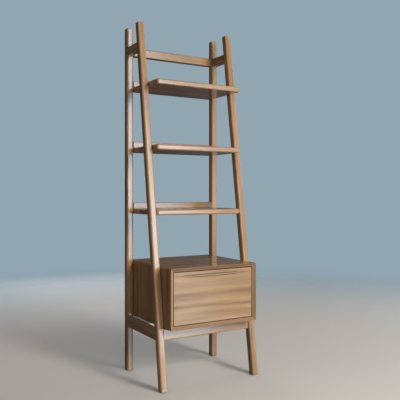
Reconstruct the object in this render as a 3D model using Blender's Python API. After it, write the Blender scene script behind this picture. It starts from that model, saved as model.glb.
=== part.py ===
"""Ladder shelf with one drawer.

Free-standing shelf unit in solid wood.  Two side frames, each with an
upright rear leg and a front leg that leans back towards the top, carry three
shelves with a raised lip along the back and, low down, a mitred cabinet with
one inset drawer on telescopic runners.

Units are metres, +Z is up, -Y is the front.  The origin is on the floor
under the middle of the unit.
"""
import math

import bmesh
import bpy
from mathutils import Vector

# ------------------------------------------------------------------ sizes
GAP = 0.0003              # assembly gap between touching pieces

HEIGHT = 1.900
WIDTH = 0.590
DEPTH = 0.488             # cabinet front to rear-leg back
REAR = DEPTH / 2          # plane of the rear legs' back faces
FRONT = -DEPTH / 2        # plane of the cabinet's front edge

LEG_W = 0.038             # leg section across the unit
LEG_D = 0.039             # leg section front to back
LEG_R = 0.006             # rounding of the long leg edges
RAIL_R = 0.005            # rounding of the rails' long edges
FRONT_FOOT = REAR - 0.4607   # front face of the front leg at floor level
LEAN = 0.1455             # backward travel of the front leg per metre of rise
XI = WIDTH / 2 - LEG_W    # inner face of the legs

GLIDE_H = 0.003
GLIDE_R = 0.0115

RAIL_Z0, RAIL_Z1 = 1.748, 1.794      # top rails
APRON_Z0, APRON_Z1 = 0.246, 0.308    # side aprons
CROSS_Z1 = 0.3055                    # top of front and rear apron
APRON_T = 0.020
TENON = 0.013                        # tenon length into a leg's inner face
TENON_SIDE = 0.016                   # tenon length front to back

SHELF_TOPS = {"top": 1.5765, "middle": 1.2385, "lower": 0.8995}
SHELF_T = 0.029
SHELF_R = 0.010           # rounding of the shelf's upright corners
SHELF_EDGE = 0.008        # rounding of its front and end edges
SHELF_FRONT = REAR - 0.335
SHELF_REAR = REAR - 0.024
LIP_T = 0.018
LIP_H = 0.033
PIN_R = 0.003

CAB_Z0, CAB_Z1 = 0.306, 0.6125
CAB_T = 0.018
CAB_BEVEL = 0.012         # the boards' front edges slope inwards by this depth
CAB_X = XI - GAP
REBATE_W, REBATE_D = 0.006, 0.0065
BACK_T = 0.0055

FRONT_GAP = 0.004         # visible gap round the drawer front
FRONT_T = 0.020
GROOVE_HALF = 0.205       # half length of the finger groove
GROOVE_H = 0.013
GROOVE_D = 0.010
GROOVE_TOP = 0.5735       # height of the groove's straight upper edge

RUNNER_L = 0.400
RUNNER_Z = 0.445
RUNNER_SPACE = 0.0127     # room for a runner between cabinet and drawer side
STEEL = 0.0012

BOX_Z0, BOX_Z1 = 0.340, 0.545
BOX_T = 0.012
BOX_REAR = 0.192
BOTTOM_Z, BOTTOM_T = 0.350, 0.006
GROOVE_IN = 0.0055

# -------------------------------------------------------------- clean scene
for old in list(bpy.data.objects):
    bpy.data.objects.remove(old, do_unlink=True)


# ---------------------------------------------------------------- materials
def material(name, colour, roughness, metallic=0.0):
    mat = bpy.data.materials.new(name)
    mat.use_nodes = True
    shader = mat.node_tree.nodes["Principled BSDF"]
    shader.inputs["Base Color"].default_value = (*colour, 1.0)
    shader.inputs["Roughness"].default_value = roughness
    shader.inputs["Metallic"].default_value = metallic
    mat.diffuse_color = (*colour, 1.0)
    return mat


LEG_WOOD = (0.40, 0.25, 0.145)
BOARD_WOOD = (0.37, 0.225, 0.13)
DRAWER_WOOD = (0.42, 0.27, 0.16)
PALE_WOOD = (0.58, 0.46, 0.32)
ZINC = (0.62, 0.62, 0.60)
NYLON = (0.05, 0.045, 0.04)


# ------------------------------------------------------------------ helpers
def empty(name, location, parent=None):
    node = bpy.data.objects.new(name, None)
    bpy.context.scene.collection.objects.link(node)
    node.location = location
    node.parent = parent
    return node


def world_of(node):
    at = Vector(node.location)
    while node.parent:
        node = node.parent
        at += Vector(node.location)
    return at


def finish_mesh(name, bm, smooth=False):
    bmesh.ops.remove_doubles(bm, verts=bm.verts, dist=1e-6)
    bmesh.ops.recalc_face_normals(bm, faces=bm.faces)
    mesh = bpy.data.meshes.new(name)
    bm.to_mesh(mesh)
    bm.free()
    if smooth:
        mesh.shade_smooth()
        mesh.set_sharp_from_angle(angle=math.radians(35))
    return mesh


def add(name, bm, colour, parent, roughness=0.4, metallic=0.0, smooth=False):
    """Link a piece whose bmesh is in world coordinates, with its own origin."""
    low = [min(v.co[i] for v in bm.verts) for i in range(3)]
    high = [max(v.co[i] for v in bm.verts) for i in range(3)]
    centre = Vector([(a + b) / 2 for a, b in zip(low, high)])
    bmesh.ops.translate(bm, verts=bm.verts, vec=-centre)
    obj = bpy.data.objects.new(name, finish_mesh(name, bm, smooth))
    obj.data.materials.append(material(name + "_finish", colour, roughness, metallic))
    bpy.context.scene.collection.objects.link(obj)
    obj.parent = parent
    obj.location = centre - world_of(parent)
    return obj


def tool(name, bm):
    """A helper solid for a Boolean; it isn't part of the unit."""
    obj = bpy.data.objects.new(name, finish_mesh(name, bm))
    bpy.context.scene.collection.objects.link(obj)
    obj.hide_render = True
    obj.display_type = "WIRE"
    return obj


def combine(target, bm, operation):
    helper = tool(f"{target.name}_{operation.lower()}_{len(target.modifiers)}", bm)
    mod = target.modifiers.new(operation.title(), "BOOLEAN")
    mod.operation = operation
    mod.solver = "EXACT"
    mod.object = helper
    return mod


def merged(*parts):
    """One bmesh holding several separate closed shapes."""
    out = bmesh.new()
    for part in parts:
        mesh = bpy.data.meshes.new("scratch")
        part.to_mesh(mesh)
        part.free()
        out.from_mesh(mesh)
        bpy.data.meshes.remove(mesh)
    return out


def span(a, b):
    return (a, b) if a < b else (b, a)


def box(x, y, z, chamfer=0.0):
    """Box between the given (low, high) limits, its edges eased by chamfer."""
    bm = bmesh.new()
    bmesh.ops.create_cube(bm, size=1.0)
    for v in bm.verts:
        for i, (low, high) in enumerate((span(*x), span(*y), span(*z))):
            v.co[i] = low if v.co[i] < 0 else high
    if chamfer:
        bmesh.ops.bevel(bm, geom=list(bm.edges), offset=chamfer, segments=1,
                        affect="EDGES", profile=0.5)
    return bm


def prism_x(outline, x, along):
    """Prism along X of a (y, z) outline.  The edges that run along the given
    axis (0 for X, 1 for Y) are rounded; the member's end faces stay flat."""
    bm = bmesh.new()
    low, high = span(*x)
    rings = [[bm.verts.new((at, y, z)) for y, z in outline] for at in (low, high)]
    count = len(outline)
    for i in range(count):
        j = (i + 1) % count
        bm.faces.new((rings[0][i], rings[0][j], rings[1][j], rings[1][i]))
    bm.faces.new(rings[0][::-1])
    bm.faces.new(rings[1])
    bmesh.ops.recalc_face_normals(bm, faces=bm.faces)
    long_edges = []
    for e in bm.edges:
        way = (e.verts[1].co - e.verts[0].co).normalized()
        if abs(way[along]) > 0.99:
            long_edges.append(e)
    bmesh.ops.bevel(bm, geom=long_edges, offset=RAIL_R, segments=3,
                    affect="EDGES", profile=0.5)
    return bm


def loft(rings):
    """Closed solid through rings of equal point count, with flat ends."""
    bm = bmesh.new()
    made = [[bm.verts.new(p) for p in ring] for ring in rings]
    count = len(rings[0])
    for a, b in zip(made, made[1:]):
        for i in range(count):
            j = (i + 1) % count
            bm.faces.new((a[i], a[j], b[j], b[i]))
    bm.faces.new(made[0][::-1])
    bm.faces.new(made[-1])
    bmesh.ops.recalc_face_normals(bm, faces=bm.faces)
    return bm


def turned(profile, at, axis, sides=10):
    """Turned solid: profile is a list of (distance along axis, radius)."""
    rings = []
    for along, radius in profile:
        ring = []
        for k in range(sides):
            t = 2 * math.pi * (k + 0.5) / sides
            u, v = radius * math.cos(t), radius * math.sin(t)
            ring.append({"x": (at[0] + along, at[1] + u, at[2] + v),
                         "y": (at[0] + u, at[1] + along, at[2] + v),
                         "z": (at[0] + u, at[1] + v, at[2] + along)}[axis])
        rings.append(ring)
    return loft(rings)


def rod(at, axis, low, high, radius, sides=10):
    low, high = span(low, high)
    return turned([(low, radius), (high, radius)], at, axis, sides)


def rounded_section(x, y, radius, z, slope=0.0, steps=3):
    """Rounded rectangle at height z, pushed back by slope * z."""
    (x0, x1), (y0, y1) = span(*x), span(*y)
    ring = []
    for cx, cy, start in ((x1 - radius, y1 - radius, 0.0), (x0 + radius, y1 - radius, 90.0),
                          (x0 + radius, y0 + radius, 180.0), (x1 - radius, y0 + radius, 270.0)):
        for k in range(steps + 1):
            t = math.radians(start + 90.0 * k / steps)
            ring.append((cx + radius * math.cos(t),
                         cy + radius * math.sin(t) + slope * z, z))
    return ring


def front_leg_y(z):
    """Front face of the leaning leg at height z."""
    return FRONT_FOOT + LEAN * z


# ------------------------------------------------------------------- bodies
unit = empty("unit_origin", (0, 0, 0))
frame = empty("frame_body", (0, 0, 0), unit)
drawer = empty("drawer_body", (0, 0, RUNNER_Z), unit)

# ------------------------------------------------- legs, rails, aprons, feet
Z_BASE = GLIDE_H + GAP
TOP_EASE = 0.004
LEG_HOLES = {}            # leg name -> list of bmesh cutters


def leg(name, x, y, slope):
    rings = []
    for z, inset in ((Z_BASE, 0.002), (Z_BASE + 0.002, 0.0),
                     (HEIGHT - TOP_EASE, 0.0), (HEIGHT - 0.0012, 0.0016), (HEIGHT, 0.0036)):
        (x0, x1), (y0, y1) = span(*x), span(*y)
        rings.append(rounded_section((x0 + inset, x1 - inset), (y0 + inset, y1 - inset),
                                     LEG_R, z, slope))
    LEG_HOLES[name] = []
    return add(name, loft(rings), LEG_WOOD, frame, 0.38, smooth=True)


def side_word(s):
    return "left" if s < 0 else "right"


legs = {}
for s in (-1, 1):
    w = side_word(s)
    legs[f"leg_rear_{w}"] = leg(f"leg_rear_{w}", (s * XI, s * WIDTH / 2), (REAR - LEG_D, REAR), 0.0)
    legs[f"leg_front_{w}"] = leg(f"leg_front_{w}", (s * XI, s * WIDTH / 2),
                                 (FRONT_FOOT, FRONT_FOOT + LEG_D), LEAN)


def grown(x, y, z, by=GAP):
    x, y, z = span(*x), span(*y), span(*z)
    return box((x[0] - by, x[1] + by), (y[0] - by, y[1] + by), (z[0] - by, z[1] + by))


def side_member(name, s, x, z0, z1, tenon_x, tenon_inset):
    """Rail between a rear leg and the leaning front leg, tenoned into both."""
    back = REAR - LEG_D - GAP
    outline = [(back, z0), (back, z1),
               (front_leg_y(z1) + LEG_D + GAP, z1), (front_leg_y(z0) + LEG_D + GAP, z0)]
    obj = add(name, prism_x(outline, x, 1), BOARD_WOOD, frame, 0.38, smooth=True)
    za, zb = z0 + tenon_inset, z1 - tenon_inset
    middle = front_leg_y((z0 + z1) / 2) + LEG_D
    combine(obj, box(tenon_x, (back - 0.010, REAR - LEG_D + TENON_SIDE), (za, zb)), "UNION")
    combine(obj, box(tenon_x, (middle - TENON_SIDE, middle + 0.012), (za, zb)), "UNION")
    w = side_word(s)
    LEG_HOLES[f"leg_rear_{w}"].append(
        grown(tenon_x, (back - 0.004, REAR - LEG_D + TENON_SIDE), (za, zb)))
    LEG_HOLES[f"leg_front_{w}"].append(
        grown(tenon_x, (middle - TENON_SIDE, middle + 0.008), (za, zb)))
    return obj


def cross_member(name, outline, tenon_y, tenon_z, row):
    """Rail between the left and right legs of the front or rear row."""
    obj = add(name, prism_x(outline, (-(XI - GAP), XI - GAP), 0), BOARD_WOOD, frame, 0.38, smooth=True)
    for s in (-1, 1):
        combine(obj, box((s * (XI - 0.010), s * (XI + TENON)), tenon_y, tenon_z), "UNION")
        LEG_HOLES[f"leg_{row}_{side_word(s)}"].append(
            grown((s * (XI - 0.004), s * (XI + TENON)), tenon_y, tenon_z))
    return obj


for s in (-1, 1):
    w = side_word(s)
    side_member(f"top_side_rail_{w}", s, (s * XI, s * WIDTH / 2), RAIL_Z0, RAIL_Z1,
                (s * (XI + 0.015), s * (XI + 0.029)), 0.008)
    side_member(f"side_apron_{w}", s, (s * (WIDTH / 2 - APRON_T), s * WIDTH / 2),
                APRON_Z0, APRON_Z1,
                (s * (WIDTH / 2 - 0.015), s * (WIDTH / 2 - 0.005)), 0.010)

cross_member("top_back_rail",
             [(REAR - LEG_D, RAIL_Z0), (REAR - LEG_D, RAIL_Z1), (REAR, RAIL_Z1), (REAR, RAIL_Z0)],
             (REAR - 0.024, REAR - 0.010), (RAIL_Z0 + 0.008, RAIL_Z1 - 0.008), "rear")
cross_member("rear_apron",
             [(REAR - 0.0325, APRON_Z0), (REAR - 0.0325, CROSS_Z1),
              (REAR - 0.0325 + APRON_T, CROSS_Z1), (REAR - 0.0325 + APRON_T, APRON_Z0)],
             (REAR - 0.0275, REAR - 0.0175), (APRON_Z0 + 0.010, CROSS_Z1 - 0.010), "rear")
APRON_BACKSET = 0.010
mid_apron = front_leg_y((APRON_Z0 + CROSS_Z1) / 2) + APRON_BACKSET + APRON_T / 2
cross_member("front_apron",
             [(front_leg_y(APRON_Z0) + APRON_BACKSET, APRON_Z0),
              (front_leg_y(CROSS_Z1) + APRON_BACKSET, CROSS_Z1),
              (front_leg_y(CROSS_Z1) + APRON_BACKSET + APRON_T, CROSS_Z1),
              (front_leg_y(APRON_Z0) + APRON_BACKSET + APRON_T, APRON_Z0)],
             (mid_apron - 0.005, mid_apron + 0.005),
             (APRON_Z0 + 0.010, CROSS_Z1 - 0.010), "front")

# nylon glides under the feet, each with a short nail in the leg
for s in (-1, 1):
    for row, y in (("rear", REAR - LEG_D / 2), ("front", FRONT_FOOT + LEG_D / 2)):
        at = (s * (XI + LEG_W / 2), y, 0.0)
        name = f"foot_glide_{row}_{side_word(s)}"
        add(name, turned([(0.0, GLIDE_R - 0.001), (0.0010, GLIDE_R), (GLIDE_H, GLIDE_R),
                          (GLIDE_H, 0.0013), (0.016, 0.0013), (0.018, 0.0005)], at, "z", 16),
            NYLON, frame, 0.6, smooth=True)
        LEG_HOLES[f"leg_{row}_{side_word(s)}"].append(
            rod(at, "z", -0.002, 0.0184, 0.0017, 8))

# ------------------------------------------------------- shelves and lips
for word, top in SHELF_TOPS.items():
    rings = []
    for k in range(-4, 5):
        t = math.radians(90 * max(0, abs(k) - 1) / 3)
        inset = SHELF_EDGE * (1 - math.cos(t))
        z = top - SHELF_T / 2 + math.copysign(SHELF_T / 2 - SHELF_EDGE * (1 - math.sin(t)), k)
        if k:
            rings.append(rounded_section((-(XI - GAP) + inset, XI - GAP - inset),
                                         (SHELF_FRONT + inset, SHELF_REAR - inset / 8),
                                         SHELF_R, z))
    shelf = add(f"shelf_board_{word}", loft(rings), BOARD_WOOD, frame, 0.36, smooth=True)
    add(f"shelf_lip_{word}",
        box((-(XI - GAP), XI - GAP), (SHELF_REAR - LIP_T, SHELF_REAR),
            (top + GAP, top + LIP_H), 0.0015),
        BOARD_WOOD, frame, 0.36)
    shelf_cuts = []
    zc = top - SHELF_T / 2
    for s in (-1, 1):
        for row, y in (("rear", REAR - 0.0315), ("front", front_leg_y(zc) + LEG_D / 2)):
            at = (0.0, y, zc)
            a, b = s * (XI - 0.018), s * (XI + 0.012)
            add(f"shelf_pin_{word}_{row}_{side_word(s)}", rod(at, "x", a, b, PIN_R),
                ZINC, frame, 0.35, 1.0, smooth=True)
            hole = (s * (XI - 0.018 - GAP), s * (XI + 0.012 + GAP))
            shelf_cuts.append(rod(at, "x", *hole, PIN_R + GAP))
            LEG_HOLES[f"leg_{row}_{side_word(s)}"].append(rod(at, "x", *hole, PIN_R + GAP))
    combine(shelf, merged(*shelf_cuts), "DIFFERENCE")

# ------------------------------------------------------------------ cabinet
MITRE = 0.00022           # half of the assembly gap at a mitre


def case_section(inner=CAB_T):
    """(distance in from the outer face, y) round a case board."""
    return [(0.0, FRONT), (inner, FRONT + CAB_BEVEL), (inner, REAR - REBATE_D),
            (inner - REBATE_W, REAR - REBATE_D), (inner - REBATE_W, REAR), (0.0, REAR)]


def case_board(name, kind, s):
    rings = []
    for end in (-1, 1):
        ring = []
        for n, y in case_section():
            if kind == "side":
                half = (CAB_Z1 - CAB_Z0) / 2 - n - MITRE
                ring.append((s * (CAB_X - n), y, (CAB_Z0 + CAB_Z1) / 2 + end * half))
            else:
                half = CAB_X - n - MITRE
                z = CAB_Z1 - n if s > 0 else CAB_Z0 + n
                ring.append((end * half, y, z))
        rings.append(ring)
    return add(name, loft(rings), BOARD_WOOD, frame, 0.34)


case_board("cabinet_top_board", "flat", 1)
case_board("cabinet_bottom_board", "flat", -1)
cab_side = {s: case_board(f"cabinet_side_{side_word(s)}", "side", s) for s in (-1, 1)}
side_cuts = {-1: [], 1: []}
in_x = CAB_X - CAB_T                  # inner face of the cabinet sides
in_z0, in_z1 = CAB_Z0 + CAB_T, CAB_Z1 - CAB_T
add("cabinet_back_panel",
    box((-(in_x + REBATE_W - GAP), in_x + REBATE_W - GAP),
        (REAR - REBATE_D + GAP, REAR - REBATE_D + GAP + BACK_T),
        (in_z0 - REBATE_W + GAP, in_z1 + REBATE_W - GAP)),
    PALE_WOOD, frame, 0.5)

# countersunk screws through the cabinet sides into the legs, one for each leg
for s in (-1, 1):
    for z in (0.560,):
        for row, y in (("rear", REAR - 0.0190), ("front", front_leg_y(z) + LEG_D / 2)):
            at = (s * in_x, y, z)
            body = [(0.0002, 0.0042), (0.0030, 0.0019), (0.0300, 0.0019), (0.0330, 0.0006)]
            hole = [(-0.0010, 0.0056), (0.0002, 0.0046), (0.0031, 0.0022), (0.0334, 0.0022)]
            add(f"cabinet_screw_{row}_{side_word(s)}",
                turned([(s * d, r) for d, r in body], at, "x", 10),
                ZINC, frame, 0.35, 1.0, smooth=True)
            side_cuts[s].append(turned([(s * d, r) for d, r in hole], at, "x", 8))
            LEG_HOLES[f"leg_{row}_{side_word(s)}"].append(
                rod(at, "x", s * 0.0150, s * 0.0334, 0.0022, 8))

# ------------------------------------------------------------------ runners
RUN_Y0 = FRONT + CAB_BEVEL + FRONT_T + 0.006
RUN_Y1 = RUN_Y0 + RUNNER_L
drawer_x = in_x - RUNNER_SPACE        # outer face of the drawer sides


def channel(s, web_outer, web_inner, tip, half_height):
    """Steel C channel along Y; x runs from its web to its flange tips."""
    hh, t = half_height, STEEL
    outline = [(web_outer, -hh), (tip, -hh), (tip, -hh + t), (web_inner, -hh + t),
               (web_inner, hh - t), (tip, hh - t), (tip, hh), (web_outer, hh)]
    rings = [[(s * x, y, RUNNER_Z + z) for x, z in outline] for y in (RUN_Y0, RUN_Y1)]
    return loft(rings)


middle_bodies = {}
for s in (-1, 1):
    w = side_word(s)
    face = in_x - GAP
    add(f"runner_cabinet_member_{w}",
        channel(s, face, face - STEEL, face - 0.0100, 0.02275), ZINC, frame, 0.3, 1.0)
    middle_bodies[s] = empty(f"runner_middle_body_{w}", (s * (face - 0.006), 0, RUNNER_Z), unit)
    add(f"runner_middle_member_{w}",
        channel(s, face - 0.0020, face - 0.0032, face - 0.0107, 0.0190),
        ZINC, middle_bodies[s], 0.3, 1.0)
    add(f"runner_drawer_member_{w}",
        channel(s, drawer_x + GAP, drawer_x + GAP + STEEL, drawer_x + 0.0080, 0.0150),
        ZINC, drawer, 0.3, 1.0)
    combine(cab_side[s], merged(*side_cuts[s]), "DIFFERENCE")

# ------------------------------------------------------------------- drawer
face_y = FRONT + CAB_BEVEL
front_back_y = face_y + FRONT_T
front_board = add("drawer_front",
                  box((-(in_x - FRONT_GAP), in_x - FRONT_GAP), (face_y, front_back_y),
                      (in_z0 + FRONT_GAP, in_z1 - FRONT_GAP), 0.0008),
                  DRAWER_WOOD, drawer, 0.34)
# finger groove: straight along the top, its lower edge curving up to the ends
groove = [(GROOVE_HALF, 0.0), (-GROOVE_HALF, 0.0)]
STEPS = 14
for k in range(1, STEPS):
    x = GROOVE_HALF * -math.cos(math.pi * k / STEPS)
    groove.append((x, -GROOVE_H * (1 - (x / GROOVE_HALF) ** 4)))
combine(front_board,
        loft([[(x, y, GROOVE_TOP + z) for x, z in groove]
              for y in (face_y - 0.004, face_y + GROOVE_D)]), "DIFFERENCE")

RABBET = 0.006                        # tongue at each corner of the drawer box
box_y0 = front_back_y + GAP
side_in = drawer_x - BOX_T            # inner face of the drawer sides
box_front = add("drawer_box_front",
                box((-(side_in - GAP), side_in - GAP), (box_y0, box_y0 + BOX_T), (BOX_Z0, BOX_Z1), 0.0008),
                PALE_WOOD, drawer, 0.5)
box_back = add("drawer_box_back",
               box((-(side_in - GAP), side_in - GAP), (BOX_REAR - BOX_T, BOX_REAR), (BOX_Z0, BOX_Z1), 0.0008),
               PALE_WOOD, drawer, 0.5)
sides = {s: add(f"drawer_side_{side_word(s)}",
                box((s * side_in, s * drawer_x), (box_y0, BOX_REAR), (BOX_Z0, BOX_Z1), 0.0008),
                PALE_WOOD, drawer, 0.5) for s in (-1, 1)}

# bottom panel in grooves on all four sides
inner_y0, inner_y1 = box_y0 + BOX_T, BOX_REAR - BOX_T
slot_z = (BOTTOM_Z - GAP, BOTTOM_Z + BOTTOM_T + GAP)
add("drawer_bottom_panel",
    box((-(side_in + GROOVE_IN - GAP * 2), side_in + GROOVE_IN - GAP * 2),
        (inner_y0 - GROOVE_IN + GAP * 2, inner_y1 + GROOVE_IN - GAP * 2),
        (BOTTOM_Z, BOTTOM_Z + BOTTOM_T)),
    PALE_WOOD, drawer, 0.5)
front_cuts = [box((-(side_in + 0.002), side_in + 0.002), (inner_y0 - GROOVE_IN, inner_y0 + 0.003), slot_z)]
back_cuts = [box((-(side_in + 0.002), side_in + 0.002), (inner_y1 - 0.003, inner_y1 + GROOVE_IN), slot_z)]

# a tongue on each end of the front and back sits in a rabbet in the sides
side_cuts = {}
for s in (-1, 1):
    reach = (s * (side_in - 0.004), s * (side_in + RABBET - GAP))
    combine(box_front, box(reach, (box_y0, box_y0 + RABBET), (BOX_Z0, BOX_Z1)), "UNION")
    combine(box_back, box(reach, (BOX_REAR - RABBET, BOX_REAR), (BOX_Z0, BOX_Z1)), "UNION")
    open_x = (s * (side_in - 0.003), s * (side_in + RABBET))
    open_z = (BOX_Z0 - 0.003, BOX_Z1 + 0.003)
    side_cuts[s] = [
        box(open_x, (box_y0 - 0.003, box_y0 + RABBET + GAP), open_z),
        box(open_x, (BOX_REAR - RABBET - GAP, BOX_REAR + 0.003), open_z),
        box((s * (side_in - 0.003), s * (side_in + GROOVE_IN)),
            (box_y0 + RABBET + GAP * 2, BOX_REAR - RABBET - GAP * 2), slot_z)]

# pan-head screws from inside the box into the drawer front
board_holes = []
for x in (-0.150, 0.150):
    for z in (0.400, 0.505):
        at = (x, box_y0 + BOX_T + GAP, z)
        body = [(0.0022, 0.0030), (0.0014, 0.0042), (0.0, 0.0042), (0.0, 0.0019),
                (-0.0230, 0.0019), (-0.0250, 0.0006)]
        add(f"drawer_front_screw_{'upper' if z > 0.45 else 'lower'}_{side_word(x)}",
            turned(body, at, "y", 10), ZINC, drawer, 0.35, 1.0, smooth=True)
        front_cuts.append(rod(at, "y", -0.0254, 0.001, 0.0022, 8))
        board_holes.append(rod(at, "y", -0.0254, 0.001, 0.0022, 8))
combine(front_board, merged(*board_holes), "DIFFERENCE")
combine(box_front, merged(*front_cuts), "DIFFERENCE")
combine(box_back, merged(*back_cuts), "DIFFERENCE")
for s in (-1, 1):
    combine(sides[s], merged(*side_cuts[s]), "DIFFERENCE")

# mortises, pin holes and screw holes in the legs
for name, cutters in LEG_HOLES.items():
    combine(legs[name], merged(*cutters), "DIFFERENCE")
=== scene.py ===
import math

import bmesh
import bpy
import numpy as np
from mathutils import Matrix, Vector


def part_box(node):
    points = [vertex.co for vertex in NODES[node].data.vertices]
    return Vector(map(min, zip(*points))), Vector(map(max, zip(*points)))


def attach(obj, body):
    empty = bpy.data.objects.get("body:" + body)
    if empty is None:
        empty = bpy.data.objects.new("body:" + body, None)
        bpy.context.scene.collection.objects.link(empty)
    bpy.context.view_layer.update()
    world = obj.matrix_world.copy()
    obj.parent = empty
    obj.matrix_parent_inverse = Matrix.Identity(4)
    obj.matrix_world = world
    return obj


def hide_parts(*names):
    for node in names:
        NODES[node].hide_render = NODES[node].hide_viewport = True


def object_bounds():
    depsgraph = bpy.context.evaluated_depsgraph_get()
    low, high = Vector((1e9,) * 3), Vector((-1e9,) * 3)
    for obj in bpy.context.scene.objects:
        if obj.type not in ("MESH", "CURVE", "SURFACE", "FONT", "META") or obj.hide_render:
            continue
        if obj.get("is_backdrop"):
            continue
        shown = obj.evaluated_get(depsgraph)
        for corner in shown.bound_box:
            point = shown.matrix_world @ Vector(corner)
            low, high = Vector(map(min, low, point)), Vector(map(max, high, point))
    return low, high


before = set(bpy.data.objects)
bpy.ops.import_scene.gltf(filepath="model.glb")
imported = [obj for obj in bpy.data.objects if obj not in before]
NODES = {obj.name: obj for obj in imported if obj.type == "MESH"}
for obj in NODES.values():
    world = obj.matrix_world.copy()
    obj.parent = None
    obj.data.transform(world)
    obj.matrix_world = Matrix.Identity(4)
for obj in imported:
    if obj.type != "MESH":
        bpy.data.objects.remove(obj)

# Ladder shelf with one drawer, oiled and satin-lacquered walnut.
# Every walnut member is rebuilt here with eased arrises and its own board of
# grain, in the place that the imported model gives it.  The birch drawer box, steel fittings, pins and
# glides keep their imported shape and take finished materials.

cad_low, cad_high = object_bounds()

LEAN = 0.1455          # the front legs lean back by this much per metre of rise


# ------------------------------------------------------------------ node help
class Tree:
    """Short calls for building a material's node tree."""

    def __init__(self, name):
        self.mat = bpy.data.materials.new(name)
        self.mat.use_nodes = True
        self.nt = self.mat.node_tree
        self.shader = self.nt.nodes["Principled BSDF"]

    def node(self, kind, **props):
        made = self.nt.nodes.new(kind)
        for key, value in props.items():
            setattr(made, key, value)
        return made

    def put(self, socket, value):
        if isinstance(value, bpy.types.NodeSocket):
            self.nt.links.new(value, socket)
        elif value is not None:
            socket.default_value = value

    def math(self, op, a, b=None, c=None, clamp=False):
        n = self.node("ShaderNodeMath", operation=op, use_clamp=clamp)
        for i, v in enumerate((a, b, c)):
            self.put(n.inputs[i], v)
        return n.outputs[0]

    def vec(self, op, a, b=None, scale=None):
        n = self.node("ShaderNodeVectorMath", operation=op)
        self.put(n.inputs[0], a)
        self.put(n.inputs[1], b)
        if scale is not None:
            self.put(n.inputs["Scale"], scale)
        return n.outputs["Value"] if op in ("LENGTH", "DOT_PRODUCT") else n.outputs["Vector"]

    def combine(self, x, y, z):
        n = self.node("ShaderNodeCombineXYZ")
        for i, v in enumerate((x, y, z)):
            self.put(n.inputs[i], v)
        return n.outputs[0]

    def noise(self, where, scale, detail=2.0, rough=0.5, distortion=0.0, dims="3D", colour=False):
        n = self.node("ShaderNodeTexNoise", noise_dimensions=dims)
        if dims == "1D":
            self.put(n.inputs["W"], where)
        else:
            self.put(n.inputs["Vector"], where)
        n.inputs["Scale"].default_value = scale
        n.inputs["Detail"].default_value = detail
        n.inputs["Roughness"].default_value = rough
        n.inputs["Distortion"].default_value = distortion
        return n.outputs["Color" if colour else "Fac"]

    def ramp(self, fac, stops, interpolation="LINEAR"):
        n = self.node("ShaderNodeValToRGB")
        n.color_ramp.interpolation = interpolation
        while len(n.color_ramp.elements) > 1:
            n.color_ramp.elements.remove(n.color_ramp.elements[-1])
        first = True
        for at, colour in stops:
            e = n.color_ramp.elements[0] if first else n.color_ramp.elements.new(at)
            e.position = at
            e.color = (*colour, 1.0) if len(colour) == 3 else colour
            first = False
        self.put(n.inputs["Fac"], fac)
        return n.outputs["Color"]

    def remap(self, value, a, b, c, d, smooth=False):
        n = self.node("ShaderNodeMapRange", interpolation_type="SMOOTHSTEP" if smooth else "LINEAR")
        for i, v in enumerate((value, a, b, c, d)):
            self.put(n.inputs[i], v)
        return n.outputs["Result"]

    def mix(self, kind, fac, a, b):
        n = self.node("ShaderNodeMix", data_type="RGBA", blend_type=kind)
        self.put(n.inputs["Factor"], fac)
        self.put(n.inputs["A"], a)
        self.put(n.inputs["B"], b)
        return n.outputs["Result"]

    def bump(self, height, distance, strength):
        n = self.node("ShaderNodeBump")
        self.put(n.inputs["Height"], height)
        n.inputs["Distance"].default_value = distance
        n.inputs["Strength"].default_value = strength
        self.put(self.shader.inputs["Normal"], n.outputs["Normal"])


# ------------------------------------------------------------------ materials
WALNUT = dict(dark=(0.164, 0.077, 0.036), mid=(0.296, 0.163, 0.079),
              light=(0.392, 0.230, 0.117), pale=(0.470, 0.293, 0.158))
STREAKED = dict(dark=(0.163, 0.081, 0.037), mid=(0.290, 0.165, 0.080),
                light=(0.382, 0.232, 0.118), pale=(0.456, 0.294, 0.158))
BIRCH = dict(dark=(0.40, 0.27, 0.155), mid=(0.56, 0.41, 0.26),
             light=(0.66, 0.50, 0.33), pale=(0.73, 0.58, 0.41))


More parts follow.
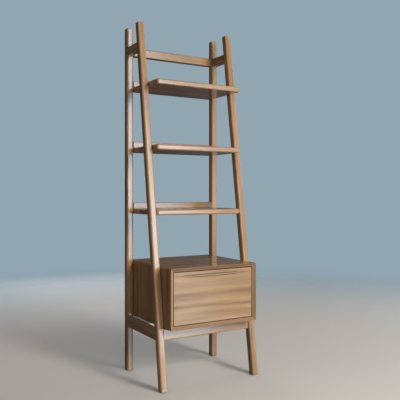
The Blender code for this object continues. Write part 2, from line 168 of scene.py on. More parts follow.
def wood(name, along, seed, colours=WALNUT, tone=1.0, lean=False, band=42.0, contrast=1.0,
         centre=(0.070, 0.055), gloss=0.40, coat=1.0, coat_rough=0.19, fine=0.22):
    """A board cut from a log: growth rings round an axis beside the board,
    fibres and pores drawn out along it, and a satin lacquer over them."""
    t = Tree(name)
    rng = np.random.default_rng(seed)
    offset = rng.uniform(-20, 20, 3)
    where = t.node("ShaderNodeTexCoord").outputs["Object"]
    sep = t.node("ShaderNodeSeparateXYZ")
    t.put(sep.inputs[0], where)
    x, y, z = sep.outputs
    if lean:
        y = t.math("MULTIPLY_ADD", z, -LEAN, y)
    a, b, c = {"x": (z, y, x), "y": (x, z, y), "z": (x, y, z)}[along]
    board = t.combine(a, b, c)
    seeded = t.vec("ADD", board, tuple(offset))

    # slow wander of the rings along the board
    wander = t.noise(t.vec("MULTIPLY", seeded, (5.0, 5.0, 1.15)), 1.0, 2.0, 0.5, colour=True)
    wander = t.vec("SCALE", t.vec("SUBTRACT", wander, (0.5, 0.5, 0.5)), scale=0.042)
    ripple = t.noise(t.vec("MULTIPLY", seeded, (26.0, 26.0, 7.0)), 1.0, 1.5, 0.5, colour=True)
    ripple = t.vec("SCALE", t.vec("SUBTRACT", ripple, (0.5, 0.5, 0.5)), scale=0.0030)
    bent = t.vec("ADD", t.vec("ADD", board, wander), ripple)
    flat = t.vec("MULTIPLY", t.vec("SUBTRACT", bent, (centre[0], centre[1], 0.0)), (1.0, 1.0, 0.0))
    radius = t.math("ADD", t.vec("LENGTH", flat), float(offset[0]))

    bands = t.noise(radius, band, 2.0, 0.50, dims="1D")
    patch = t.noise(t.vec("MULTIPLY", seeded, (34.0, 34.0, 3.2)), 1.0, 2.0, 0.5)
    rings = t.noise(radius, band * 5.5, 2.0, 0.6, dims="1D")
    fibre = t.noise(t.vec("MULTIPLY", seeded, (620.0, 620.0, 8.0)), 1.0, 3.0, 0.62)
    streak = t.noise(t.vec("MULTIPLY", seeded, (150.0, 150.0, 2.6)), 1.0, 2.0, 0.55)
    pores = t.remap(t.noise(t.vec("MULTIPLY", seeded, (1500.0, 1500.0, 34.0)), 1.0, 1.0, 0.5),
                    0.62, 0.72, 0.0, 1.0, smooth=True)
    cloud = t.noise(t.vec("MULTIPLY", seeded, (4.5, 4.5, 1.6)), 1.0, 2.0, 0.5)

    v = t.math("MULTIPLY", bands, 0.40)
    v = t.math("MULTIPLY_ADD", patch, 0.26, v)
    v = t.math("MULTIPLY_ADD", rings, fine * 0.5, v)
    v = t.math("MULTIPLY_ADD", streak, fine * 0.5, v)
    v = t.math("MULTIPLY_ADD", fibre, 0.34 - fine, v)
    v = t.remap(v, 0.5 - 0.150 / contrast, 0.5 + 0.150 / contrast, 0.0, 1.0)
    colour = t.ramp(v, [(0.0, colours["dark"]), (0.34, colours["mid"]),
                        (0.68, colours["light"]), (1.0, colours["pale"])])
    shade = t.remap(cloud, 0.32, 0.68, 0.86 * tone, 1.12 * tone)
    hue = t.remap(t.noise(t.vec("MULTIPLY", seeded, (46.0, 46.0, 3.6)), 1.0, 1.0, 0.5), 0.36, 0.64, 0.0, 1.0, smooth=True)
    cast = t.mix("MIX", hue, (0.985, 0.980, 1.080, 1.0), (1.015, 1.045, 0.875, 1.0))
    colour = t.mix("MULTIPLY", 1.0, colour, cast)
    colour = t.mix("MULTIPLY", 1.0, colour, t.combine(shade, shade, shade))
    colour = t.mix("MIX", t.math("MULTIPLY", pores, 0.32), colour,
                   (colours["dark"][0] * 0.55, colours["dark"][1] * 0.5, colours["dark"][2] * 0.5, 1.0))
    # per-point mark of painted light: above zero a painted highlight on rounded edges, below zero painted shade in
    # recesses and gaps
    painted_light = t.node("ShaderNodeAttribute", attribute_name="painted_light")
    # painted highlight: blotchy lightening towards pale where the mark is above zero
    painted_highlight = t.math("MULTIPLY", painted_light.outputs["Fac"],
                 t.remap(t.noise(t.vec("MULTIPLY", seeded, (60.0, 60.0, 14.0)), 1.0, 2.0), 0.35, 0.65, 0.05, 0.28),
                 clamp=True)
    colour = t.mix("MIX", painted_highlight, colour, (*[min(1.0, 1.10 * k) for k in colours["pale"]], 1.0))
    # painted shade: colour darkened towards near black where the mark is below zero, in tight recesses and the gaps
    # round the drawer front
    painted_recess_shade = t.remap(painted_light.outputs["Fac"], 0.0, -1.0, 0.0, 0.86)
    colour = t.mix("MIX", painted_recess_shade, colour, (*[0.18 * k for k in colours["dark"]], 1.0))
    t.put(t.shader.inputs["Base Color"], colour)

    rough = t.remap(fibre, 0.3, 0.7, gloss - 0.04, gloss + 0.06)
    rough = t.math("MULTIPLY_ADD", pores, 0.10, rough)
    rough = t.math("MULTIPLY_ADD", cloud, 0.06, rough)
    t.put(t.shader.inputs["Roughness"], rough)
    t.shader.inputs["Specular IOR Level"].default_value = 0.22
    t.shader.inputs["Coat Weight"].default_value = coat
    t.shader.inputs["Coat Roughness"].default_value = coat_rough
    t.shader.inputs["Coat IOR"].default_value = 1.5

    h = t.math("MULTIPLY", fibre, 0.45)
    h = t.math("MULTIPLY_ADD", rings, 0.30, h)
    h = t.math("MULTIPLY_ADD", pores, -0.35, h)
    t.bump(h, 0.00022, 0.55)
    return t.mat


def zinc(name):
    """Bright zinc-plated steel: fine rolling lines and a faint mottle."""
    t = Tree(name)
    where = t.node("ShaderNodeTexCoord").outputs["Object"]
    lines = t.noise(t.vec("MULTIPLY", where, (900.0, 14.0, 900.0)), 1.0, 2.0, 0.6)
    mottle = t.noise(where, 90.0, 3.0, 0.6)
    t.put(t.shader.inputs["Base Color"],
          t.ramp(mottle, [(0.30, (0.52, 0.53, 0.53)), (0.55, (0.66, 0.66, 0.65)), (0.75, (0.74, 0.73, 0.70))]))
    t.shader.inputs["Metallic"].default_value = 0.72
    t.put(t.shader.inputs["Roughness"],
          t.math("MULTIPLY_ADD", lines, 0.16, t.remap(mottle, 0.3, 0.7, 0.30, 0.42)))
    t.bump(t.math("MULTIPLY_ADD", mottle, 0.4, lines), 0.00008, 0.5)
    return t.mat


def nylon(name):
    """Moulded dark nylon with a spark-eroded texture."""
    t = Tree(name)
    where = t.node("ShaderNodeTexCoord").outputs["Object"]
    grain = t.noise(where, 1600.0, 3.0, 0.6)
    t.put(t.shader.inputs["Base Color"],
          t.ramp(t.noise(where, 70.0, 2.0), [(0.3, (0.030, 0.026, 0.022)), (0.7, (0.055, 0.048, 0.042))]))
    t.put(t.shader.inputs["Roughness"], t.remap(grain, 0.3, 0.7, 0.42, 0.62))
    t.bump(grain, 0.0001, 0.5)
    return t.mat


# ------------------------------------------------------------------ mesh help
def rounded(points, radii, steps):
    """Closed outline with each corner rounded.  Also says which points lie in
    the middle of a rounding, where a painted highlight lightens the colour."""
    out, painted_light = [], []
    count = len(points)
    pts = [np.array(p, float) for p in points]
    for i, p in enumerate(pts):
        da, db = pts[i - 1] - p, pts[(i + 1) % count] - p
        da, db = da / np.linalg.norm(da), db / np.linalg.norm(db)
        angle = math.acos(max(-1.0, min(1.0, float(da @ db))))
        r = max(radii[i], 0.00006)
        reach, middle = r / math.tan(angle / 2), r / math.sin(angle / 2)
        centre = p + (da + db) / np.linalg.norm(da + db) * middle
        v0, v1 = p + da * reach - centre, p + db * reach - centre
        turn = math.pi - angle
        for k in range(steps + 1):
            f = k / steps
            v = (math.sin((1 - f) * turn) * v0 + math.sin(f * turn) * v1) / math.sin(turn)
            out.append(tuple(centre + v))
            painted_light.append(0.0 if k in (0, steps) else 1.0)
    return out, painted_light


def inset(points, by):
    """Outline moved inwards by that distance; points run anticlockwise."""
    if by == 0:
        return points
    pts = [np.array(p, float) for p in points]
    out = []
    for i, p in enumerate(pts):
        e0, e1 = p - pts[i - 1], pts[(i + 1) % len(pts)] - p
        e0, e1 = e0 / np.linalg.norm(e0), e1 / np.linalg.norm(e1)
        n0, n1 = np.array((-e0[1], e0[0])), np.array((-e1[1], e1[0]))
        k = by / (1.0 + float(n0 @ n1))
        out.append(tuple(p + (n0 + n1) * k))
    return out


def anticlockwise(points, radii):
    area = sum(points[i - 1][0] * points[i][1] - points[i][0] * points[i - 1][1]
               for i in range(len(points)))
    return (points, radii) if area > 0 else (points[::-1], radii[::-1])


def make_piece(name, verts, faces, painted_light, material, body, replaced, slot, sharp=42.0):
    mesh = bpy.data.meshes.new(name)
    bm = bmesh.new()
    made = [bm.verts.new(v) for v in verts]
    for f in faces:
        bm.faces.new([made[i] for i in f])
    bmesh.ops.recalc_face_normals(bm, faces=bm.faces)
    bm.to_mesh(mesh)
    bm.free()
    mesh.attributes.new("painted_light", "FLOAT", "POINT").data.foreach_set("value", np.array(painted_light, np.float32))
    mesh.shade_smooth()
    mesh.set_sharp_from_angle(angle=math.radians(sharp))
    mesh.materials.append(material)
    obj = bpy.data.objects.new(name, mesh)
    bpy.context.scene.collection.objects.link(obj)
    normals = obj.modifiers.new("Face normals", "WEIGHTED_NORMAL")
    normals.mode = "FACE_AREA"
    normals.weight = 100
    normals.keep_sharp = True
    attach(obj, body)
    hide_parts(*replaced)
    return obj


def bar(points, radii, place, t0, t1, ease=(0.001, 0.001), steps=4, spans=6):
    """Verts, faces and painted highlight marks of a member with a rounded section.  place(u, v, t)
    gives the point of the section at t along it.  ease is how far each end is
    rounded over."""
    points, radii = anticlockwise(list(points), list(radii))
    stations = []
    for k in range(steps + 1):
        f = math.radians(90 * k / steps)
        stations.append((t0 + ease[0] * (1 - math.cos(f)), ease[0] * (1 - math.sin(f)), 0 < k < steps))
    a, b = t0 + ease[0], t1 - ease[1]
    for k in range(1, spans):
        stations.append((a + (b - a) * k / spans, 0.0, False))
    for k in range(steps, -1, -1):
        f = math.radians(90 * k / steps)
        stations.append((t1 - ease[1] * (1 - math.cos(f)), ease[1] * (1 - math.sin(f)), 0 < k < steps))
    verts, painted_light, rings = [], [], []
    for t, by, painted_mark in stations:
        outline, flags = rounded(inset(points, by), [r - by for r in radii], steps)
        rings.append(range(len(verts), len(verts) + len(outline)))
        verts += [place(u, v, t) for u, v in outline]
        # painted highlight on the rounded ends and on the roundings of the section
        painted_light += [1.0 if painted_mark else f for f in flags]
    faces = []
    for lower, upper in zip(rings, rings[1:]):
        n = len(lower)
        faces += [(lower[i], lower[(i + 1) % n], upper[(i + 1) % n], upper[i]) for i in range(n)]
    faces += [tuple(rings[0])[::-1], tuple(rings[-1])]
    return verts, faces, painted_light


def rectangle(u, v):
    return [(u[0], v[0]), (u[1], v[0]), (u[1], v[1]), (u[0], v[1])]


def extent(node, axis):
    low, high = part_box(node)
    return low[axis], high[axis]


X, Y, Z = 0, 1, 2
REAR = cad_high.y
leg_low, leg_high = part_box("leg_rear_left")
LEG_IN = abs(leg_high.x)                       # the legs' inner faces are at +-LEG_IN
LEG_DEEP = leg_high.y - leg_low.y
foot_z = leg_low.z
FRONT_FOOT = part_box("leg_front_left")[0].y - LEAN * (foot_z + 0.002)


def front_leg_y(z):
    return FRONT_FOOT + LEAN * z


# ----------------------------------------------------------------------- legs
LEG_ROUND = [0.0092, 0.0092, 0.0064, 0.0064]     # front edges rounder than the back ones
for side, seed in (("left", 11), ("right", 23)):
    x = extent(f"leg_rear_{side}", X)
    z = extent(f"leg_rear_{side}", Z)
    name = f"leg_rear_{side}"
    shape = bar(rectangle(x, (REAR - LEG_DEEP, REAR)), LEG_ROUND,
                lambda u, v, t: (u, v, t), *z, ease=(0.002, 0.004), steps=6, spans=24)
    make_piece(name + "_wood", *shape, wood("walnut_" + name, "z", seed, centre=(0.31, 0.27), tone=1.02),
               "frame", [name], "leg_wood")
    name = f"leg_front_{side}"
    shape = bar(rectangle(x, (FRONT_FOOT, FRONT_FOOT + LEG_DEEP)), LEG_ROUND,
                lambda u, v, t: (u, v + LEAN * t, t), *z, ease=(0.002, 0.004), steps=6, spans=24)
    make_piece(name + "_wood", *shape,
               wood("walnut_" + name, "z", seed + 4, lean=True, centre=(0.22, -0.31), tone=1.06),
               "frame", [name], "leg_wood")

# ------------------------------------------------------------ rails and aprons
JOINT = 0.0090         # how far a member is scribed into the rounding of the leg it is tenoned to
RAIL_ROUND = 0.0055

for side, seed in (("left", 31), ("right", 37)):
    for kind, slot, seed_off in (("top_side_rail", "leg_wood", 0), ("side_apron", "board_wood", 3)):
        name = f"{kind}_{side}"
        x, z = extent(name, X), extent(name, Z)
        back = REAR - LEG_DEEP + JOINT

        def between_legs(u, v, t, back=back):
            front = front_leg_y(v) + LEG_DEEP - JOINT
            return (u, front + (back - front) * t, v)

        shape = bar(rectangle(x, z), [RAIL_ROUND] * 4, between_legs, 0.0, 1.0, ease=(0.0, 0.0), spans=8)
        make_piece(name + "_wood", *shape,
                   wood("walnut_" + name, "y", seed + seed_off, centre=(0.12, 0.40), tone=0.98),
                   "frame", [name], slot)

reach = LEG_IN + JOINT
for name, seed in (("top_back_rail", 41), ("rear_apron", 43)):
    y, z = extent(name, Y), extent(name, Z)
    shape = bar(rectangle(y, z), [RAIL_ROUND] * 4, lambda u, v, t: (t, u, v), -reach, reach,
                ease=(0.0, 0.0), spans=16)
    make_piece(name + "_wood", *shape,
               wood("walnut_" + name, "x", seed, centre=(1.72 if "top" in name else 0.21, 0.12), tone=0.86),
               "frame", [name], "leg_wood" if "top" in name else "board_wood")

z = extent("front_apron", Z)
y = extent("front_apron", Y)
deep = (y[1] - y[0]) - LEAN * (z[1] - z[0])
set_back = y[0] - front_leg_y(z[0])
shape = bar(rectangle((set_back, set_back + deep), z), [RAIL_ROUND] * 4,
            lambda u, v, t: (t, front_leg_y(v) + u, v), -reach, reach, ease=(0.0, 0.0), spans=16)
make_piece("front_apron_wood", *shape, wood("walnut_front_apron", "x", 47, centre=(0.20, -0.10), tone=1.0),
           "frame", ["front_apron"], "board_wood")

# --------------------------------------------------------------- shelves, lips
EDGE_ROUND = 0.0085        # along the front and both ends; the back edge is only eased


def shelf_shape(low, high, steps=6):
    verts, painted_light, rings = [], [], []
    levels = [(low.z + EDGE_ROUND * (1 - math.cos(f)), EDGE_ROUND * (1 - math.sin(f)), 0 < f < 1.57)
              for f in np.linspace(0, math.pi / 2, steps + 1)]
    levels += [(high.z - (z - low.z), by, painted_mark) for z, by, painted_mark in levels[::-1]]
    for z, by, painted_mark in levels:
        corners = [(low.x + by, low.y + by), (high.x - by, low.y + by),
                   (high.x - by, high.y - by * 0.12), (low.x + by, high.y - by * 0.12)]
        outline, flags = rounded(corners, [0.0115 - by, 0.0115 - by, 0.002, 0.002], steps)
        rings.append(range(len(verts), len(verts) + len(outline)))
        verts += [(x, y, z) for x, y in outline]
        # painted highlight along the rounded front and end edges
        painted_light += [0.7 if painted_mark else 0.0 for _ in flags]
    faces = []
    for lower, upper in zip(rings, rings[1:]):
        n = len(lower)
        faces += [(lower[i], lower[(i + 1) % n], upper[(i + 1) % n], upper[i]) for i in range(n)]
    faces += [tuple(rings[0])[::-1], tuple(rings[-1])]
    return verts, faces, painted_light


for word, seed in (("top", 53), ("middle", 59), ("lower", 67)):
    name = f"shelf_board_{word}"
    low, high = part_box(name)
    shape = shelf_shape(low, high)
    make_piece(name + "_wood", *shape,
               wood("walnut_" + name, "x", seed, centre=(low.z - 0.035, low.y + 0.19), band=36.0),
               "frame", [name], "board_wood")
    name = f"shelf_lip_{word}"
    low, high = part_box(name)
    shape = bar(rectangle((low.y, high.y), (low.z, high.z)), [0.0012, 0.0012, 0.0040, 0.0040],
                lambda u, v, t: (t, u, v), low.x, high.x, ease=(0.001, 0.001), spans=16)
    make_piece(name + "_wood", *shape,
               wood("walnut_" + name, "x", seed + 2, centre=(low.z - 0.10, low.y - 0.06), tone=0.84),
               "frame", [name], "board_wood")

# -------------------------------------------------------------------- cabinet
top_low, top_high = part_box("cabinet_top_board")
bottom_low, bottom_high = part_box("cabinet_bottom_board")
CASE_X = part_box("cabinet_side_right")[1].x
CASE_Z = (bottom_low.z, top_high.z)
CASE_T = top_high.z - top_low.z
CASE_FRONT, CASE_BACK = top_low.y, top_high.y
SLOPE = 0.012          # the front edges slope in towards the drawer by this depth
REBATE_W, REBATE_D = 0.006, 0.0065
MITRE = 0.0001
CORNER = 0.0018        # rounding of the case's four long outer corners
case_profile = [(0.0, CASE_FRONT), (CASE_T, CASE_FRONT + SLOPE), (CASE_T, CASE_BACK - REBATE_D),
                (CASE_T - REBATE_W, CASE_BACK - REBATE_D), (CASE_T - REBATE_W, CASE_BACK), (0.0, CASE_BACK)]
case_radii = [0.0012, 0.0010, 0.0004, 0.0004, 0.0006, 0.0012]


def case_board(name, kind, sign, seed, **look):
    """One of the four mitred boards; n is the distance in from the outer face."""
    outline, flags = rounded(case_profile, case_radii, 4)
    half = CASE_X if kind == "flat" else (CASE_Z[1] - CASE_Z[0]) / 2
    mid_z = (CASE_Z[0] + CASE_Z[1]) / 2
    verts, painted_light, rings = [], [], []
    turns = [45 * k / 4 for k in range(5)]
    stations = [(-1, d) for d in turns[::-1]] + [(f, None) for f in np.linspace(-1, 1, 14)[1:-1]] \
        + [(1, d) for d in turns]
    for f, d in stations:
        rings.append(range(len(verts), len(verts) + len(outline)))
        for (n, y), flag in zip(outline, flags):
            fade = max(0.0, 1.0 - n / CASE_T)
            if d is None:
                along = f * (half - CORNER - n)
                depth = n
            else:
                a = math.radians(d)
                along = f * (half - n - MITRE - CORNER * (1 - math.sin(a)) * fade)
                depth = n + CORNER * (1 - math.cos(a)) * fade
            if kind == "flat":
                p = (along, y, CASE_Z[1] - depth if sign > 0 else CASE_Z[0] + depth)
            else:
                p = (sign * (CASE_X - depth), y, mid_z + along)
            verts.append(p)
            # painted highlight on the rounded corners of the case
            painted_light.append(max(flag, 1.0 if (d is not None and n < 0.002 and d > 8) else 0.0))
    faces = []
    for lower, upper in zip(rings, rings[1:]):
        n = len(lower)
        faces += [(lower[i], lower[(i + 1) % n], upper[(i + 1) % n], upper[i]) for i in range(n)]
    faces += [tuple(rings[0])[::-1], tuple(rings[-1])]
    make_piece(name + "_wood", verts, faces, painted_light,
               wood("walnut_" + name, "x" if kind == "flat" else "z", seed, **look),
               "frame", [name], "board_wood", sharp=30.0)


case_board("cabinet_top_board", "flat", 1, 71, centre=(CASE_Z[1] - 0.05, -0.02), band=34.0, coat_rough=0.16)
case_board("cabinet_bottom_board", "flat", -1, 73, centre=(CASE_Z[0] + 0.07, 0.03), band=34.0)
# painted light: the left side's colour is lifted (tone 1.08) to stand in for light that its shaded place between the
# legs lacks
case_board("cabinet_side_left", "side", -1, 79, centre=(-CASE_X + 0.06, 0.02), band=34.0, tone=1.08, gloss=0.46, coat=0.5, coat_rough=0.34)
case_board("cabinet_side_right", "side", 1, 83, centre=(CASE_X - 0.06, 0.02), band=34.0)

name = "cabinet_back_panel"
low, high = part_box(name)
shape = bar(rectangle((low.x, high.x), (low.z, high.z)), [0.0006] * 4,
            lambda u, v, t: (u, t, v), low.y, high.y, ease=(0.0004, 0.0004), steps=2, spans=1)
make_piece(name + "_wood", *shape, wood("walnut_" + name, "z", 89, centre=(0.05, 0.30), tone=0.92, gloss=0.5, coat=0.1),
           "frame", [name], "board_wood")


# --------------------------------------------------------------- drawer front
def drawer_front():
    """Inset front.  A long routed pull runs under its straight upper lip, with a slim
    rounded rail standing in it; its lower edge curves up to meet the lip at both ends."""
    low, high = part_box("drawer_front")
    face, back = low.y, high.y
    half, top = 0.205, 0.5740
    r = 0.0009
    ends = [low.x + r, -half - 0.006]
    run = [half * -math.cos(math.pi * k / 56) for k in range(57)]
    columns = ends + run + [half + 0.006, high.x - r]
    # section of the pull, from the bottom up: (height, depth) from the upper lip, then a mark of painted light: below
    # zero painted shade in the two slots, above zero a painted highlight on the rail and arrises
    section = [(-0.01330, 0.0000, 0.6), (-0.01325, 0.0012, -0.8), (-0.01315, 0.0056, -1.0), (-0.01240, 0.0064, -1.0),
               (-0.01120, 0.0064, -1.0), (-0.01070, 0.0056, -1.0), (-0.01065, 0.0022, -0.9), (-0.01040, 0.0012, 1.0),
               (-0.00960, 0.0008, 1.2), (-0.00820, 0.0010, 1.2), (-0.00680, 0.0014, 1.2), (-0.00540, 0.0019, 1.2),
               (-0.00430, 0.0025, 1.2), (-0.00365, 0.0033, 1.0), (-0.00335, 0.0042, 0.4), (-0.00330, 0.0078, -1.0),
               (-0.00280, 0.0086, -1.0), (-0.00070, 0.0086, -1.0), (-0.00020, 0.0080, -1.0), (-0.00010, 0.0012, -0.8),
               (0.00000, 0.0000, 0.8)]
    grid, painted_light_of = [], []
    for x in columns:
        f = min(1.0, abs(x) / half)
        height = max(0.09, 1 - f ** 4)
        depth = (1 - f ** 5) ** 0.9
        foot = top + section[0][0] * height
        column = [(low.z + r, 0.0), ((low.z + top) / 2, 0.0), (foot - 0.0030, 0.0), (foot - 0.0004, 0.0)]
        # painted highlight on the pull's lower and upper arrises
        column_light = [0.0, 0.0, 0.0, 0.6]
        for z, d, painted_mark in section:
            column.append((top + z * height, d * depth))
            column_light.append(painted_mark)
        column += [(top + 0.0004, 0.0), (top + 0.004, 0.0), (high.z - r, 0.0)]
        column_light += [0.8, 0.0, 0.0]
        grid.append([(x, face + d, z) for z, d in column])
        painted_light_of.append(column_light)
    cols, rows = len(grid), len(grid[0])
    verts = [p for column in grid for p in column]
    painted_light = [w for column in painted_light_of for w in column]

    def at(i, j):
        return i * rows + j

    faces = [(at(i, j), at(i + 1, j), at(i + 1, j + 1), at(i, j + 1))
             for i in range(cols - 1) for j in range(rows - 1)]
    rim = [(at(i, 0), 0, -1) for i in range(cols)] + [(at(cols - 1, j), 1, 0) for j in range(1, rows)] \
        + [(at(i, rows - 1), 0, 1) for i in range(cols - 2, -1, -1)] + [(at(0, j), -1, 0) for j in range(rows - 2, 0, -1)]
    out = []
    for index, dx, dz in rim:
        x, _, z = verts[index]
        dx = dx or (-1 if abs(x - columns[0]) < 1e-9 else 1 if abs(x - columns[-1]) < 1e-9 else 0)
        dz = dz or (-1 if abs(z - (low.z + r)) < 1e-9 else 1 if abs(z - (high.z - r)) < 1e-9 else 0)
        out.append((x, z, dx, dz))
    last = [index for index, _, _ in rim]
    loops = [(r * math.sin(math.radians(90 * k / 4)), face + r * (1 - math.cos(math.radians(90 * k / 4))), k < 4)
             for k in range(1, 5)]
    loops += [(r, back - 0.0008, False), (r - 0.0008 + 0.0008 * 0.7071, back - 0.0008 * 0.2929, True),
              (r - 0.0008, back, False)]
    for reach_out, y, painted_mark in loops:
        ring = range(len(verts), len(verts) + len(out))
        verts += [(x + dx * reach_out, y, z + dz * reach_out) for x, z, dx, dz in out]
        # painted highlight on the front's rounded rim, painted shade on its sides, which face the gaps to the case
        painted_light += [1.0 if painted_mark else -0.55] * len(out)
        n = len(out)
        faces += [(last[i], last[(i + 1) % n], ring[(i + 1) % n], ring[i]) for i in range(n)]
        last = list(ring)
    faces.append(tuple(last))
    make_piece("drawer_front_wood", verts, faces, painted_light,
               wood("walnut_drawer_front", "x", 97, colours=STREAKED, tone=1.03, band=26.0, contrast=0.85, fine=0.13,
                    centre=(0.16, -0.335), gloss=0.38),
               "drawer", ["drawer_front"], "drawer_front_wood", sharp=38.0)


drawer_front()

# ------------------------------------------------- drawer box, steel and nylon
box_looks = {"drawer_box_front": "x", "drawer_box_back": "x", "drawer_side_left": "y",
             "drawer_side_right": "y", "drawer_bottom_panel": "x"}
steel, plastic = zinc("zinc_plated_steel"), nylon("moulded_nylon")


def dress(obj, material, width, angle=30.0):
    """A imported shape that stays: new material, eased arrises, clean normals."""
    obj.data.materials.clear()
    obj.data.materials.append(material)
    weld = obj.modifiers.new("Join corners", "WELD")
    weld.merge_threshold = 0.00002
    if width:
        flat = obj.modifiers.new("Whole faces", "DECIMATE")
        flat.decimate_type = "DISSOLVE"
        flat.angle_limit = math.radians(0.5)
        ease = obj.modifiers.new("Eased arrises", "BEVEL")
        ease.width = width
        ease.segments = 2
        ease.limit_method = "ANGLE"
        ease.angle_limit = math.radians(angle)
        ease.harden_normals = True


for node, obj in NODES.items():
    if obj.hide_render:
        continue
    if node in box_looks:
        low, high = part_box(node)
        centre = {"x": (low.z - 0.08, low.y - 0.05), "y": (low.x - 0.09, low.z + 0.06)}[box_looks[node]]
        dress(obj, wood("birch_" + node, box_looks[node], 101 + sorted(box_looks).index(node), colours=BIRCH,
                        centre=centre, gloss=0.46, coat=0.12, band=60.0, contrast=0.8),
              0.0007)
    elif node.startswith("foot_glide"):
        dress(obj, plastic, 0.0)
    elif node.startswith("runner"):
        dress(obj, steel, 0.00025)
    else:
        dress(obj, steel, 0.0)

# ---------------------------------------------------------------------- stage
def lin(r, g, b):
    return tuple((c / 255 / 12.92 if c / 255 <= 0.04045 else ((c / 255 + 0.055) / 1.055) ** 2.4) for c in (r, g, b))


BACKDROP = lin(146, 166, 178)
AMBIENT = (0.060, 0.056, 0.055)
MIRRORED = (0.085, 0.110, 0.128)
SHADED = (0.056, 0.044, 0.040)

floor_mesh = bpy.data.meshes.new("studio_floor")
bm = bmesh.new()
bmesh.ops.create_circle(bm, cap_ends=True, segments=96, radius=6.0)
bm.to_mesh(floor_mesh)
bm.free()
floor = bpy.data.objects.new("studio_floor", floor_mesh)
bpy.context.scene.collection.objects.link(floor)
floor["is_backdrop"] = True
t = Tree("studio_floor")
seen_floor = t.shader
seen_floor.inputs["Base Color"].default_value = (*lin(214, 211, 206), 1.0)
seen_floor.inputs["Roughness"].default_value = 0.55
dim_floor = t.node("ShaderNodeBsdfPrincipled")
dim_floor.inputs["Base Color"].default_value = (*lin(104, 97, 91), 1.0)
dim_floor.inputs["Roughness"].default_value = 0.17
diffuse = t.node("ShaderNodeMixShader")
t.put(diffuse.inputs[0], t.node("ShaderNodeLightPath").outputs["Is Camera Ray"])
t.put(diffuse.inputs[1], dim_floor.outputs[0])
t.put(diffuse.inputs[2], seen_floor.outputs[0])
clear = t.node("ShaderNodeBsdfTransparent")
far = t.vec("LENGTH", t.node("ShaderNodeTexCoord").outputs["Object"])
fade = t.remap(far, 1.3, 4.8, 0.0, 1.0, smooth=True)
blend = t.node("ShaderNodeMixShader")
t.put(blend.inputs[0], fade)
t.put(blend.inputs[1], diffuse.outputs[0])
t.put(blend.inputs[2], clear.outputs[0])
t.put(t.nt.nodes["Material Output"].inputs["Surface"], blend.outputs[0])
floor_mesh.materials.append(t.mat)

world = bpy.data.worlds.new("studio")
bpy.context.scene.world = world
world.use_nodes = True
wt = world.node_tree
wt.nodes.clear()
path = wt.nodes.new("ShaderNodeLightPath")
seen = wt.nodes.new("ShaderNodeBackground")
seen.inputs["Color"].default_value = (*BACKDROP, 1.0)
lit = wt.nodes.new("ShaderNodeBackground")
lit.inputs["Color"].default_value = (*AMBIENT, 1.0)
mirrored = wt.nodes.new("ShaderNodeBackground")
way = wt.nodes.new("ShaderNodeSeparateXYZ")
wt.links.new(wt.nodes.new("ShaderNodeTexCoord").outputs["Generated"], way.inputs[0])


def swept(axis, start, end):
    step = wt.nodes.new("ShaderNodeMapRange")
    step.interpolation_type = "SMOOTHSTEP"
    step.inputs["From Min"].default_value, step.inputs["From Max"].default_value = start, end
    wt.links.new(way.outputs[axis], step.inputs["Value"])
    return step.outputs["Result"]


# the room behind the unit goes from dark and warm on the left to cool on the right
cooler = wt.nodes.new("ShaderNodeMath")
cooler.operation = "MAXIMUM"
wt.links.new(swept("X", 0.40, 0.58), cooler.inputs[0])
wt.links.new(swept("Y", 0.10, -0.10), cooler.inputs[1])
tint = wt.nodes.new("ShaderNodeMix")
tint.data_type = "RGBA"
tint.inputs["A"].default_value = (*SHADED, 1.0)
tint.inputs["B"].default_value = (*MIRRORED, 1.0)
wt.links.new(cooler.outputs[0], tint.inputs["Factor"])
wt.links.new(tint.outputs["Result"], mirrored.inputs["Color"])
lighting = wt.nodes.new("ShaderNodeMixShader")
wt.links.new(path.outputs["Is Glossy Ray"], lighting.inputs[0])
wt.links.new(lit.outputs[0], lighting.inputs[1])
wt.links.new(mirrored.outputs[0], lighting.inputs[2])
choose = wt.nodes.new("ShaderNodeMixShader")
out = wt.nodes.new("ShaderNodeOutputWorld")
wt.links.new(path.outputs["Is Camera Ray"], choose.inputs[0])
wt.links.new(lighting.outputs[0], choose.inputs[1])
wt.links.new(seen.outputs[0], choose.inputs[2])
wt.links.new(choose.outputs[0], out.inputs[0])


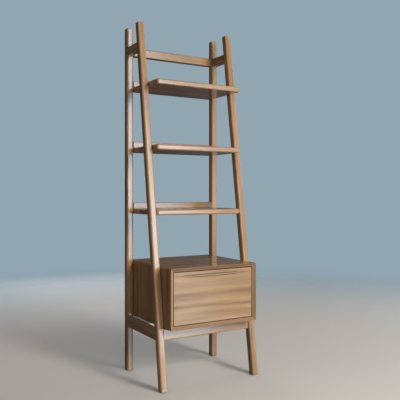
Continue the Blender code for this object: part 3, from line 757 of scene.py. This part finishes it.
def area_light(name, azimuth, elevation, distance, size, watts, colour, aim=(0.0, 0.0, 0.85), gloss=True):
    """Azimuth is measured from the front (-Y) towards the right (+X)."""
    data = bpy.data.lights.new(name, "AREA")
    data.shape = "RECTANGLE"
    data.size, data.size_y = size
    data.energy = watts
    data.color = colour
    obj = bpy.data.objects.new(name, data)
    bpy.context.scene.collection.objects.link(obj)
    a, e = math.radians(azimuth), math.radians(elevation)
    way = Vector((math.sin(a) * math.cos(e), -math.cos(a) * math.cos(e), math.sin(e)))
    obj.location = Vector(aim) + way * distance
    obj.rotation_euler = (-way).to_track_quat("-Z", "Y").to_euler()
    obj.visible_camera = False
    obj.visible_glossy = gloss
    return obj


area_light("key", 11.7, 21.0, 4.6, (0.9, 1.1), 121.0, (1.0, 0.83, 0.62), gloss=False)
area_light("window_low", 20.0, 0.0, 4.8, (1.72, 2.1), 124.0, (0.69, 0.84, 1.0), aim=(0.0, 0.0, 1.25))
area_light("window_high", 17.0, 0.0, 4.8, (1.22, 1.3), 60.0, (0.69, 0.84, 1.0), aim=(0.0, 0.0, 2.95))
area_light("front_left", -16.0, 8.0, 4.6, (2.6, 2.2), 50.0, (1.0, 1.0, 1.0), gloss=False)
area_light("fill_left", -96.0, 14.0, 4.0, (2.0, 2.4), 10.0, (1.0, 0.95, 0.90), gloss=False)
area_light("fill_right", 88.0, 12.0, 4.0, (2.0, 2.4), 45.0, (1.0, 0.98, 0.95), gloss=False)
area_light("fill_back", 172.0, 10.0, 4.0, (2.4, 2.4), 55.0, (0.96, 0.98, 1.0), gloss=False)

# --------------------------------------------------------------------- camera
cam_data = bpy.data.cameras.new("camera")
cam_data.sensor_width = 36.0
cam_data.lens = 51.85
cam_data.shift_y = -0.01734
cam_data.clip_start, cam_data.clip_end = 0.05, 100.0
camera = bpy.data.objects.new("camera", cam_data)
camera.location = (-1.5702, -2.7448, 0.9856)
camera.rotation_euler = (math.radians(90.0), 0.0, math.radians(-30.5845))
bpy.context.scene.collection.objects.link(camera)
bpy.context.scene.camera = camera

bpy.context.scene.view_settings.view_transform = "Standard"
bpy.context.scene.view_settings.look = "None"

low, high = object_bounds()
